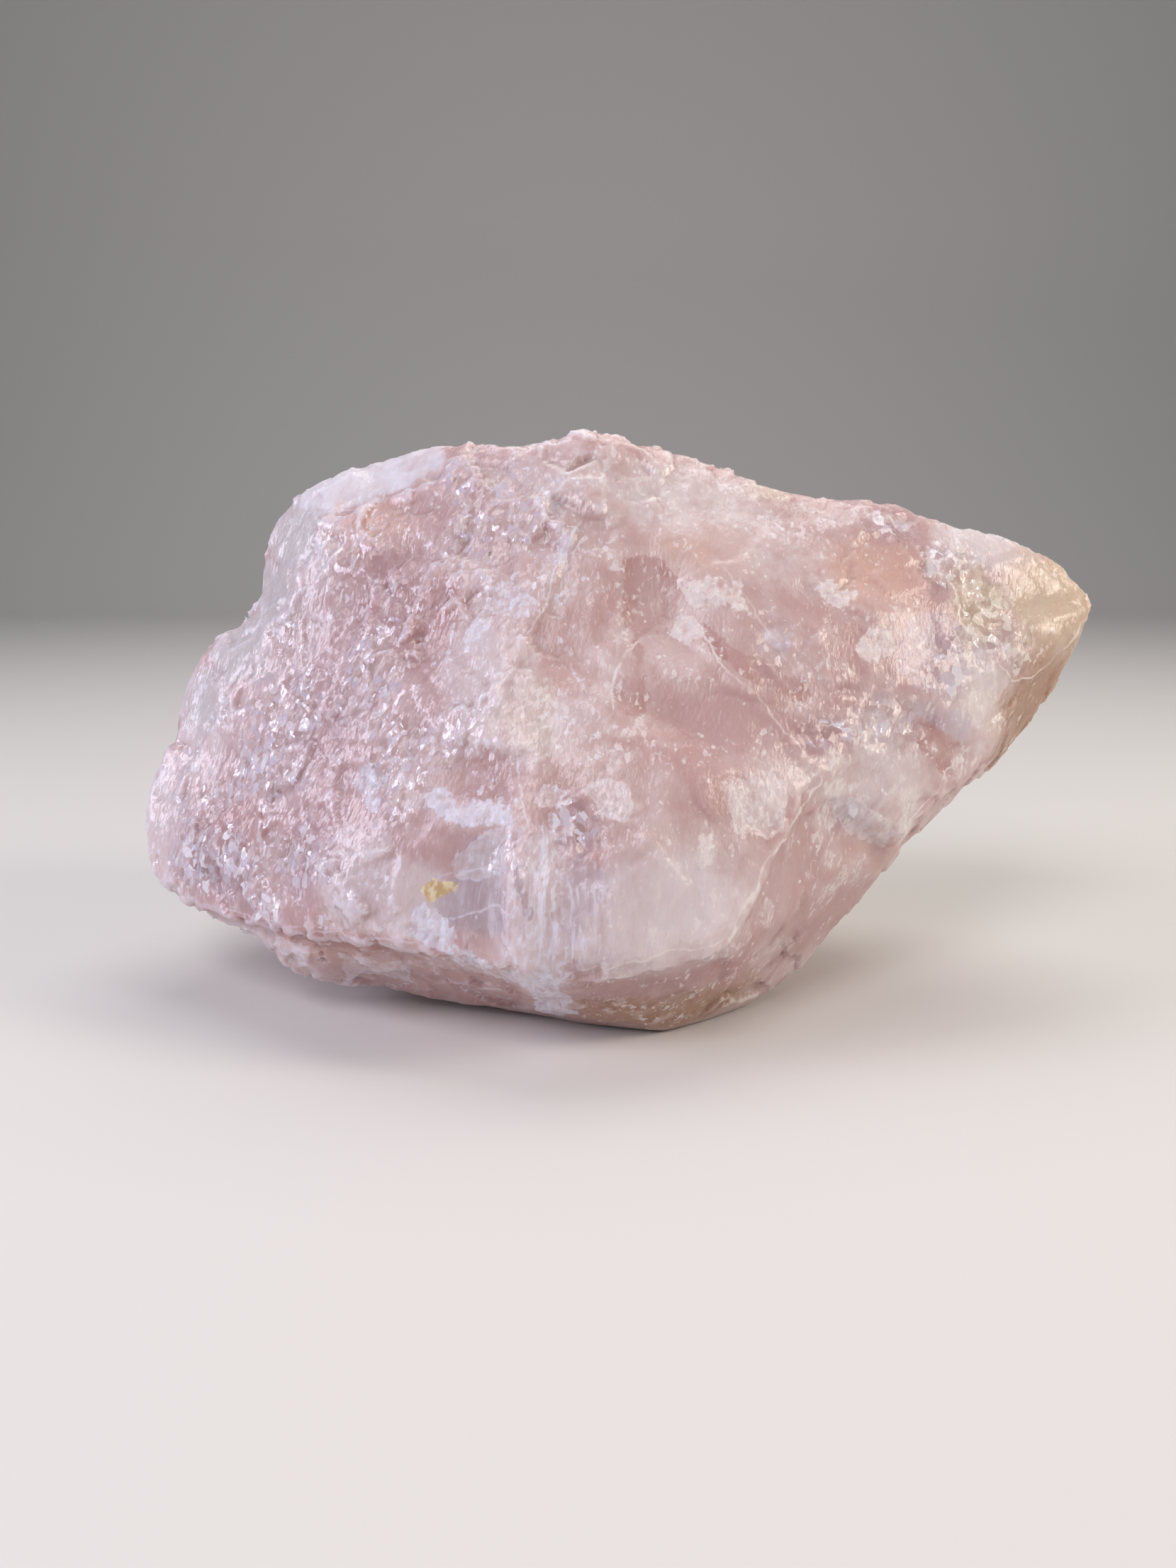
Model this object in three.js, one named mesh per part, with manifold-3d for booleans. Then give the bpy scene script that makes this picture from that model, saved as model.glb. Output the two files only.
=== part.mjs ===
// A chunk of massive rose quartz, broken by hand on every side: one solid, with no separate pieces.
// Millimetres, +Z up. The stone rests on the flat break at Z = 0, -Y is its large broken front
// and +X is its pointed tip. The origin is the middle of its footprint box.
//
// The stone is made as a knapper would leave it. Its corners are listed by the feature that they
// bound, a skin is drawn over them, and the thin spalls and shell-shaped chips are then struck off.

import * as THREE from "three";
import { ConvexHull } from "three/addons/math/ConvexHull.js";
import { mergeVertices } from "three/addons/utils/BufferGeometryUtils.js";
import Module from "manifold-3d";

const STONE_COLOUR = 0xd9b3b0;
const STONE_ROUGHNESS = 0.42;
const HEART = new THREE.Vector3(0, 2, 42); // inside the stone, where every corner can be seen from
const TOUCH = 1e-3; // vertices closer than this are one
const CLEAR = 30; // how far a spall's block stands out of the stone
const BALL_DETAIL = 8; // facets along each edge of a chip's ball, less one

// Corners, in order along the edge or round the face that names them.
const corners = {
  // Outline of the front, from the blunt left end over the crest to the tip and down to the foot.
  leftEnd: [
    [-77, 2, 26], [-75.5, 4, 32.5], [-72.5, 6, 40.5], [-69.5, 8, 50], [-66, 8, 55.5], [-61, 8, 58.5],
    [-57, 9, 62],
  ],
  shoulder: [[-57, 9, 68], [-55, 9, 73.5], [-50.5, 8, 78.5], [-41, 6, 82.5], [-29, 3, 85]],
  crest: [
    [-22, 0, 86], [-15.5, -2, 85], [-11, -2, 85], [-8, -1, 87], [-3, 0, 87], [5, 2, 85.5],
    [16.5, 4, 82], [24.5, 5, 79], [31, 6, 78], [41, 6, 78], [49.5, 7, 75],
  ],
  tip: [
    [62.5, 8, 72], [70, 8, 69], [76, 8, 64], [77, 7, 61], [74.5, 8, 52], [71, 8, 44.5], [65.5, 6, 38],
  ],
  rightSlope: [[57.5, 3, 32], [45, -3, 23], [38.5, -6, 15.5], [32.5, -8, 9.5], [26.5, -9, 3]],
  underLeft: [
    [-17.5, -16, 1.5], [-27.5, -14, 2], [-37, -12, 3], [-49.5, -14, 5.5], [-54, -12, 9.5],
    [-59.5, -9, 11.5], [-67.5, -6, 13.5], [-74, -3, 17], [-76, 0, 21.5],
  ],
  // The flat break that the stone rests on.
  foot: [
    [20, -12, 0], [13.5, -17, 0], [7, -21, 0], [-5.5, -18, 0], [-11.5, -15, 0], [-22, -6, 0],
    [-32, 4, 0], [-28, 18, 0], [-8, 26, 0], [14, 23, 0], [27, 8, 0],
  ],
  // The pale rim down the left end, and the bevel below the shoulder.
  rimEdge: [[-43.5, -2, 75.5], [-47.5, -4, 63], [-60.5, 0, 50.5], [-66, 0, 38], [-71, -2, 27]],
  shoulderEdge: [[-33.5, -3, 77.5], [-26, -4, 81]],
  // The sugary left face and the broken ledge below it.
  leftFace: [
    [-39, -8, 61], [-26, -9, 70], [-32, -18, 48.5], [-47, -15, 36.5], [-58.5, -12, 26],
    [-33.5, -27, 30.5], [-40.5, -27, 22.5],
  ],
  ledge: [[-57.5, -15, 15.5], [-47, -22, 15.5], [-34.5, -29, 18], [-25.5, -33, 18]],
  underLedge: [[-52, -16, 13], [-40, -22, 12.5], [-26, -28, 14.5]],
  // The rib that parts the two halves of the front.
  rib: [
    [-6, -12, 71], [-11, -17, 62], [-16, -22, 53.5], [-15, -27, 43.5], [-14.5, -33, 34.5],
    [-14, -37, 26], [-14.5, -37, 16], [-10, -25, 6],
  ],
  // The smooth right face, the edge of the plate on it, and the broken ground beyond.
  rightFace: [[3, -14, 65.5], [3, -22, 51.5], [11.5, -28, 39.5], [0.5, -34, 30.5], [-3.5, -38, 21]],
  plateEdge: [[28.5, -22, 39], [20.5, -28, 29.5], [14.5, -33, 18], [7, -35, 17], [-3, -36, 14.5]],
  rightUpper: [
    [8, -4, 76.5], [26.5, -6, 68.5], [36.5, -9, 61], [49, 0, 68.5], [52, -3, 59], [54.5, -6, 51.5],
    [53, -9, 42], [37.5, -14, 50], [41, -15, 36.5], [30, -21, 25],
  ],
  sideEdge: [[70.5, 0, 58.5], [59.5, -4, 46], [57, -7, 39], [44, -13, 29]],
  // The back: its upper edge, the broken face below that, and the slope down to the foot.
  backCrest: [[-52, 22, 70], [-24, 22, 80], [-13, 6, 82.5], [6, 26, 77], [36, 24, 67], [60, 17, 64]],
  backFace: [[-72, 19, 38], [-58, 30, 48], [-22, 38, 56], [22, 36, 52], [50, 30, 50], [67, 18, 53]],
  backSlope: [[-66, 20, 22], [-42, 33, 18], [-6, 38, 18], [28, 31, 18], [50, 20, 30]],
};

// Spalls: thin plates that split off. Each leaves a step `deep` below the old surface from edge[0]
// to edge[1], and a new face that runs out to nothing at `out`.
const spalls = [
  { edge: [[28.5, -22, 39], [14, -33, 17.5]], out: [44, -8, 20], deep: 1 }, // below the plate
  { edge: [[36, -14, 51], [54, -8, 42]], out: [42, -15, 33], deep: 0.8 }, // below the pale facet
  { edge: [[-16, -33, 35], [-16, -37, 14]], out: [-29, -30, 24], deep: 1.8 }, // the glassy notch
  { edge: [[-6, -12, 72], [-15, -20, 57]], out: [6, -12, 68], deep: 0.8 }, // right of the rib
  { edge: [[-52, 22, 70], [-20, 38, 56]], out: [-24, 22, 80], deep: 2.4 }, // on the back
  { edge: [[20, 36, 52], [26, 31, 20]], out: [55, 26, 42], deep: 2.8 },
  { edge: [[-56, 30, 48], [-46, 33, 20]], out: [-70, 19, 30], deep: 2.6 },
];

// Chips: shell-shaped hollows, each a ball of `radius` sunk `deep` into the face that looks along
// `facing`, at the point `at`.
const chips = [
  { at: [6, -13.5, 63], facing: [0.1, -0.9, 0.4], radius: 26, deep: 1.4 }, // the dark shell
  { at: [-4, 37, 36], facing: [-0.1, 1, 0], radius: 42, deep: 4 },
  { at: [44, 31, 52], facing: [0.4, 0.9, 0.2], radius: 32, deep: 3 },
  { at: [-72, 14, 46], facing: [-1, 0.4, 0.3], radius: 28, deep: 2.5 },
  { at: [16, 16, 80], facing: [0.1, 0.3, 1], radius: 36, deep: 2.5 },
  { at: [-34, 20, 78], facing: [-0.2, 0.5, 1], radius: 30, deep: 2 },
];

const wasm = await Module();
wasm.setup();

const vector = (xyz) => new THREE.Vector3(...xyz);

// Draws a closed skin over corners that can all be seen from HEART. Neighbours are found on a unit
// sphere round it, where every corner lies on the convex hull, and the faces keep the real corners.
function skinOver(points) {
  const cornerOf = new Map(points.map((p) => [p.clone().sub(HEART).normalize(), p]));
  const hull = new ConvexHull().setFromPoints([...cornerOf.keys()]);
  const positions = [];
  for (const face of hull.faces) {
    let edge = face.edge;
    do {
      positions.push(...cornerOf.get(edge.head().point).toArray());
      edge = edge.next;
    } while (edge !== face.edge);
  }
  const skin = new THREE.BufferGeometry();
  skin.setAttribute("position", new THREE.Float32BufferAttribute(positions, 3));
  return skin;
}

// A solid that can be cut, from a closed three.js geometry.
function solidFrom(geometry) {
  const bare = new THREE.BufferGeometry();
  const loose = geometry.index ? geometry.toNonIndexed() : geometry;
  bare.setAttribute("position", loose.getAttribute("position"));
  const merged = mergeVertices(bare, TOUCH);
  return new wasm.Manifold(
    new wasm.Mesh({
      numProp: 3,
      vertProperties: merged.attributes.position.array,
      triVerts: new Uint32Array(merged.index.array),
    }),
  );
}

function geometryFrom(solid) {
  const mesh = solid.getMesh();
  const geometry = new THREE.BufferGeometry();
  geometry.setAttribute("position", new THREE.BufferAttribute(mesh.vertProperties, mesh.numProp));
  geometry.setIndex(new THREE.BufferAttribute(mesh.triVerts, 1));
  return geometry;
}

// What a spall takes off: a block that stands on the new face, with one wall along the step.
function spallTool({ edge, out, deep }) {
  const [start, end, far] = [...edge, out].map(vector);
  const middle = start.clone().lerp(end, 0.5);
  const along = end.clone().sub(start).normalize();
  const outward = along.clone().cross(far.clone().sub(middle)).normalize();
  if (outward.dot(middle.clone().sub(HEART)) < 0) {
    along.negate();
    outward.negate();
  }
  const step = middle.clone().addScaledVector(outward, -deep);
  const fall = far.clone().sub(step);
  fall.addScaledVector(along, -fall.dot(along));
  const reach = fall.length() + CLEAR;
  const away = fall.normalize();
  const up = along.clone().cross(away);
  const block = new THREE.BoxGeometry(start.distanceTo(end), reach, CLEAR);
  block.translate(0, reach / 2, CLEAR / 2);
  block.applyMatrix4(new THREE.Matrix4().makeBasis(along, away, up).setPosition(step));
  return solidFrom(block);
}

// The ball that leaves a chip's hollow.
function chipTool({ at, facing, radius, deep }) {
  const centre = vector(at).addScaledVector(vector(facing).normalize(), radius - deep);
  return solidFrom(new THREE.IcosahedronGeometry(radius, BALL_DETAIL).translate(...centre));
}

const rough = solidFrom(skinOver(Object.values(corners).flat().map(vector)));
const tools = [...spalls.map(spallTool), ...chips.map(chipTool)];
const stone = tools.reduce((solid, tool) => solid.subtract(tool), rough);

const chunk = new THREE.Mesh(
  geometryFrom(stone),
  new THREE.MeshStandardMaterial({
    color: STONE_COLOUR,
    roughness: STONE_ROUGHNESS,
    metalness: 0,
    flatShading: true,
  }),
);
chunk.name = "quartz_chunk";

const object = new THREE.Group();
object.add(chunk);

export default object;
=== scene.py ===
"""A chunk of massive rose quartz, broken on every side, standing on its flat break."""

import math
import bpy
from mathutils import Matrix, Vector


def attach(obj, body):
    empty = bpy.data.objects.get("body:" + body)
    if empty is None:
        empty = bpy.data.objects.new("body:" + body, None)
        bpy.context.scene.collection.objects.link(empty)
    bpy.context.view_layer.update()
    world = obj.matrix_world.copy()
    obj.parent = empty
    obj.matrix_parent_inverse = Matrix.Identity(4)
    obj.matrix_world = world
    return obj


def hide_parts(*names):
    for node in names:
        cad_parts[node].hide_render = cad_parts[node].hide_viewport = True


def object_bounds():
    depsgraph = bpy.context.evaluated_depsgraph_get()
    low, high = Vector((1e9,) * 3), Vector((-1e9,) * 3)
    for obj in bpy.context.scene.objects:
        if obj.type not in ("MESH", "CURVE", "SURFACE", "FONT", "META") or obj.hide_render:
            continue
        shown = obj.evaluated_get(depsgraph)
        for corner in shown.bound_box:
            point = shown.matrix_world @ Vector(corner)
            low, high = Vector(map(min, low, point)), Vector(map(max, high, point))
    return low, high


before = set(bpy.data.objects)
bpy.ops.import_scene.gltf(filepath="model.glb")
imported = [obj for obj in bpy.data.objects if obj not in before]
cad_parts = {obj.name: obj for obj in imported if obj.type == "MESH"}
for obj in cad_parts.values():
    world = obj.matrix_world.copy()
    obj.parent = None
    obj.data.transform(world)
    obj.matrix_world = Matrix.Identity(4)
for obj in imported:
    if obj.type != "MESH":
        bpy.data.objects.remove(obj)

from types import SimpleNamespace

import bmesh
import bpy
import numpy as np
from mathutils import Vector, noise as turbulence

cad_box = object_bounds()
scene = bpy.context.scene
scene.view_settings.view_transform = "Standard"
MM = 0.001


# ---------------------------------------------------------------------------------------------
# The camera. A phone held low and close in front of the stone, a little above its middle and
# tipped down, with the wide lens that such a phone has.

LENS_MM = 27.0
LENS_TIP_DOWN = math.radians(13.0)
LENS_OFF_CENTRE = -4.5 * MM
LENS_STANDOFF = 144.0 * MM  # in front of the box that holds the stone
LENS_HEIGHT = 75.0 * MM

low, high = (Vector(corner) for corner in cad_box)
camera = bpy.data.objects.new("camera", bpy.data.cameras.new("camera"))
camera.data.lens = LENS_MM
camera.data.clip_start = 5.0 * MM
camera.location = ((low.x + high.x) / 2 + LENS_OFF_CENTRE, low.y - LENS_STANDOFF, low.z + LENS_HEIGHT)
camera.rotation_euler = (math.pi / 2 - LENS_TIP_DOWN, 0.0, 0.0)
scene.collection.objects.link(camera)
scene.camera = camera


# ---------------------------------------------------------------------------------------------
# The stone. Massive quartz with no crystal faces, hammered off a vein, so every side is a break:
# sugary where it tore through grains, waxy and stepped where thin spalls split off, glassy where
# it is clear. Bruised edges and old cracks are white, because they scatter light.

VOXEL = 0.69 * MM
WORN_PASSES, EDGE_PASSES, PROUD_PASSES = 20, 16, 10
NIBBLE_SIZE, NIBBLE = 3.2 * MM, 1.6
SWELL_SIZE, SWELL = 24.0 * MM, 0.8 * MM
PLATE_SIZE, PLATE_LEAN, PLATE_STEP = 13.0 * MM, 0.045, 0.16 * MM
CHIP_SIZE, CHIP_LEAN, CHIP_STEP = 6.0 * MM, 0.09, 0.08 * MM
GRAIN_SIZE, GRAIN_LEAN, GRAIN_STEP = 2.4 * MM, 0.045, 0.02 * MM
GRAIN_PRESS, GRAIN_SLANT = 0.62, -0.15
PANE_REACH = 4.0
FURROW_SIZE, FURROW = 1.8 * MM, 0.35 * MM
SPECK_AT = (-18.5 * MM, -10.9 * MM, 69.2 * MM)
WANDER_SEED = 5

# Patches that differ from the common pink stone: centre and half-widths in millimetres, then
# strength and how soft the edge is, from 0 for a torn edge to 1 for one that fades all the way.
PATCHES = {
    # Cracked and crushed, so white.
    "bruise": [
        ((-8, -13, 70), (1.4, 5, 5), 0.8, 0.5),
        ((-15, -17, 63), (4, 6, 3.5), 0.9, 0.5),
        ((-20, -18, 58), (3, 6, 4), 0.6, 0.7),
        ((-8, -23, 49), (11, 6, 3.6), 0.62, 0.7),
        ((-2, -27, 43.5), (6, 6, 2.4), 0.5, 0.8),
        ((-35.5, -21, 38.8), (4, 5, 2.4), 0.8, 0.5),
        ((-37, -27, 26), (6, 6, 6), 0.4, 0.9),
        ((-13, -34, 13), (6, 8, 3.5), 0.8, 0.6),
        ((-9.5, -32, 15), (4.5, 8, 4.5), 1.0, 0.6),
        ((-10, -36, 20), (4, 6, 5), 0.6, 0.7),
        ((9, -4, 76), (4.5, 6, 2.6), 0.6, 0.7),
        ((11, -30.5, 31), (2.2, 5, 3), 0.8, 0.5),
        ((8, -34, 20), (9, 8, 3), 0.5, 0.9),
        ((1, -24.6, 47), (5, 5, 1.6), 0.7, 0.4),
        ((29, -20, 41), (6, 6, 2.2), 0.8, 0.6),
        ((55, -7, 47), (4, 6, 6), 0.6, 0.7),
        ((53, -6, 39), (2, 5, 4), 0.7, 0.6),
        ((52, -9, 38), (3, 5, 3), 0.8, 0.6),
        ((48, -10, 40.5), (3, 5, 2.5), 0.5, 0.7),
        ((43, -14, 34), (4, 6, 3), 0.8, 0.6),
        ((43, -14, 29), (3, 6, 4), 0.9, 0.5),
        ((32, -19, 36), (4, 5, 1.8), 0.9, 0.5),
        ((29.7, -19.6, 31.4), (3, 5, 3.2), 0.8, 0.5),
        ((31, -18.4, 27), (2.4, 5, 3.4), 0.7, 0.5),
        ((35, -15, 22.7), (5, 6, 4), 0.7, 0.6),
        ((29.6, -18.6, 21), (4, 6, 3), 0.65, 0.6),
        ((20.5, -26.7, 20.6), (2.5, 5, 3), 0.6, 0.6),
        ((18.5, -26, 36.5), (4.4, 6, 4.2), 0.75, 0.4),
        ((26, -16.6, 13.6), (6, 6, 3), 0.5, 0.8),
        ((37, 2, 75), (16, 6, 1.6), 0.6, 0.7),
        ((24, 1, 79), (6, 6, 2), 0.7, 0.6),
        ((55, -1, 60), (4, 8, 9), 0.6, 0.7),
        ((49, 0, 67), (3.5, 6, 4), 0.6, 0.7),
        ((14, -30, 26), (5, 6, 5), 0.4, 0.9),
        ((12, -26, 9), (12, 10, 4), 0.45, 0.9),
        ((38, -12, 45), (10, 8, 5), 0.5, 0.9),
        ((10, -2, 79), (12, 8, 3), 0.4, 1.0),
        ((-2, -2, 82), (8, 8, 4), 0.5, 0.9),
        ((20, 34, 40), (7, 8, 9), 0.7, 0.8),
        ((-30, 34, 58), (9, 8, 5), 0.7, 0.8),
        ((-24, 36, 26), (12, 8, 5), 0.6, 0.9),
    ],
    # Milky veils inside it.
    "milk": [
        ((-36, 1, 80), (16, 10, 6), 0.5, 1.0),
        ((4, -34, 22), (22, 10, 10), 0.95, 0.8),
        ((-12, -34, 24), (9, 8, 14), 1.0, 0.8),
        ((-18, -20, 52), (9, 9, 12), 1.0, 0.9),
        ((-28, -24, 38), (9, 9, 10), 0.5, 1.0),
        ((-12, -26, 46), (8, 8, 6), 0.7, 0.9),
        ((10, -2, 77), (24, 14, 8), 0.8, 1.0),
        ((-2, -18, 58), (9, 8, 14), 0.35, 1.0),
        ((-10, -4, 80), (16, 9, 9), 0.7, 1.0),
        ((-38, -27, 27), (9, 8, 9), 1.0, 0.8),
        ((-28, -30, 24), (9, 8, 7), 1.0, 0.8),
        ((22, -24, 41), (9, 7, 5), 0.4, 0.9),
        ((25, -6, 68), (9, 8, 10), 0.7, 1.0),
        ((45, -9, 54), (12, 8, 10), 0.4, 0.8),
        ((54, -5, 48), (9, 9, 12), 1.0, 0.8),
        ((38, -12, 36), (13, 12, 10), 0.8, 0.8),
        ((60, 4, 71), (13, 10, 6), 1.0, 0.7),
        ((22, 0, 77), (14, 8, 6), 0.4, 1.0),
        ((-48, 0, 70), (8, 9, 10), 1.0, 0.8),
        ((-66, 0, 42), (10, 9, 12), 0.9, 0.8),
        ((-72, -1, 27), (7, 10, 13), 1.0, 0.8),
        ((-62, -6, 45), (9, 9, 6), 0.6, 0.9),
        ((-38, -16, 46), (8, 8, 4), 0.5, 0.9),
        ((24, 28, 56), (26, 16, 14), 0.8, 1.0),
        ((-44, 28, 44), (16, 14, 20), 0.7, 1.0),
        ((0, 34, 14), (30, 14, 9), 0.7, 1.0),
    ],
    # Pale and greyish, where the stone is thin and light goes through it.
    "thin": [
        ((-49.5, 5, 72), (8.5, 12, 8), 1.0, 0.7),
        ((-53.5, 4, 62), (8.5, 12, 8), 1.0, 0.7),
        ((-58, 4, 54), (10, 12, 7), 1.0, 0.7),
        ((-66, 3, 46), (9, 12, 8), 0.8, 0.8),
        ((-76, 3, 36), (5, 9, 11), 0.6, 0.8),
        ((-77, 0, 26), (5, 8, 9), 0.5, 0.8),
        ((-46, -2, 60), (10, 14, 16), 0.5, 1.0),
    ],
    # Deeper rose, where it is sound and thick; some, marked below, are painted shade.
    "rose": [
        ((-28, -14, 61), (8, 9, 9), 1.0, 0.8),
        ((-36, -10, 67), (7, 9, 5), 0.5, 0.9),
        ((-19, -28, 40.5), (7, 6, 4.5), 0.8, 0.5),
        ((-57, -12, 30), (9, 9, 4.5), 0.9, 0.7),
        ((8, -22, 47), (10, 7, 10), 0.5, 0.8),
        ((29, -20, 26), (9, 9, 12), 0.6, 0.8),
        # Painted shadow under the pale facet.
        ((46, -10, 41), (9, 8, 6), 0.7, 0.4),
        # Painted shade on the two faces low down that look down.
        ((10, -30, 9), (24, 12, 9), 0.8, 0.6),
        ((-38, -25, 15.5), (16, 8, 2.6), 0.8, 0.6),
        ((4, 36, 30), (18, 12, 12), 0.8, 0.9),
    ],
    # Warmer, peach to salmon.
    "peach": [
        ((-36, -5, 73), (12, 9, 5.5), 0.75, 1.0),
        ((11, -8, 70), (13, 8, 6), 0.6, 1.0),
        ((38, -4, 67), (14, 8, 9), 0.8, 0.9),
        ((67, 4, 44), (9, 12, 14), 0.7, 0.9),
        ((38, -14, 25), (13, 12, 13), 0.5, 1.0),
        ((30, 22, 66), (16, 12, 8), 0.7, 1.0),
        ((-40, -20, 12), (24, 10, 3), 0.6, 0.8),
    ],
    # Cream, towards the point.
    "cream": [
        ((70, 7, 60), (14, 20, 13), 1.0, 0.9),
        ((55, -1, 61), (7, 8, 10), 0.8, 0.7),
        ((23, 2, 78), (6, 6, 3), 0.5, 0.7),
        ((-13, -26, 50), (7, 6, 10), 0.5, 0.9),
        ((58, -4, 46), (8, 9, 8), 0.5, 0.9),
    ],
    # Clear and glassy.
    "clear": [
        ((-18.5, -32, 30.5), (5, 6, 3.6), 0.7, 0.4),
        ((-19, -32, 24), (6, 6, 5), 1.0, 0.4),
    ],
    # Broken into flakes that catch the light; these get painted glints.
    "sparkle": [
        ((-60, -8, 23), (9, 12, 6), 1.0, 0.5),
        ((-45, -20, 26), (6, 9, 6), 0.8, 0.6),
        ((-53, -16, 18), (5, 9, 3), 0.8, 0.6),
        ((-55, -12, 37), (10, 10, 4), 0.5, 0.8),
        ((-46, -14, 48), (9, 10, 9), 0.5, 0.8),
        ((-36, -8, 62), (10, 10, 10), 0.35, 0.9),
        ((56, -1, 59), (4.5, 8, 9), 1.0, 0.5),
        ((50, 0, 67), (3.5, 6, 4), 0.9, 0.5),
        ((49, -8, 52), (4, 6, 5), 0.7, 0.6),
        ((40, -14, 46), (8, 8, 5), 0.6, 0.8),
        ((42, 2, 74), (5, 6, 4), 0.6, 0.7),
        ((30, -18, 44), (7, 8, 3), 0.6, 0.7),
        ((22, -15, 56), (4, 6, 5), 0.5, 0.7),
        ((-6, -32, 35), (4, 6, 3.5), 0.8, 0.6),
        ((33, -20, 32), (3, 6, 3), 0.8, 0.6),
    ],
    # Combed by fine upright cracks.
    "combed": [
        ((-9, -36, 25), (9, 10, 15), 1.0, 0.7),
        ((-18, -32, 20), (7, 8, 8), 0.6, 0.6),
        ((-4, -20, 55), (9, 9, 8), 0.4, 0.8),
    ],
    # Sound, so it broke smoothly.
    "sound": [
        ((10, -20, 52), (28, 22, 26), 1.0, 0.5),
        ((46, -6, 52), (18, 20, 22), 1.0, 0.5),
        ((6, -30, 24), (24, 16, 16), 0.9, 0.5),
        ((-18, -30, 30), (14, 12, 14), 1.0, 0.4),
        ((30, -16, 24), (14, 14, 12), 0.9, 0.5),
        ((37, -14, 42), (13, 14, 11), 1.0, 0.5),
        ((16, -8, 69), (15, 13, 9), 1.0, 0.4),
        ((34, 2, 72), (20, 14, 9), 0.8, 0.6),
        ((66, 4, 60), (14, 18, 20), 1.0, 0.6),
        ((40, 26, 44), (26, 16, 26), 1.0, 0.6),
        ((-22, 34, 24), (22, 14, 16), 0.9, 0.6),
    ],
    # Tan, low down towards the point and along the bottom: painted shade, warmed as by light thrown up from
    # below.
    "tan_painted_shade": [
        ((68, 7, 43), (15, 24, 15), 0.95, 0.9),
        ((10, -25, 5), (26, 14, 6), 0.8, 0.8),
        ((-40, -24, 14.6), (15, 9, 2.4), 0.5, 0.8),
    ],
    # Sugary, with grains that catch the light, and painted glints among them.
    "sugar": [
        ((-46, -10, 48), (32, 34, 42), 0.9, 0.7),
        ((-60, -8, 26), (18, 16, 13), 1.0, 0.6),
        ((-40, -5, 72), (14, 12, 10), 0.8, 0.9),
        ((-22, -6, 76), (20, 14, 14), 0.8, 0.8),
        ((-8, -36, 25), (12, 10, 18), 0.5, 0.9),
        ((53, -1, 61), (9, 8, 10), 0.9, 0.7),
        ((36, 0, 72), (16, 8, 6), 0.5, 0.8),
        ((30, -14, 45), (9, 7, 6), 0.4, 0.9),
        ((-6, 34, 46), (24, 14, 18), 0.9, 0.8),
        ((-50, 22, 34), (20, 16, 24), 0.9, 0.9),
    ],
}

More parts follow.
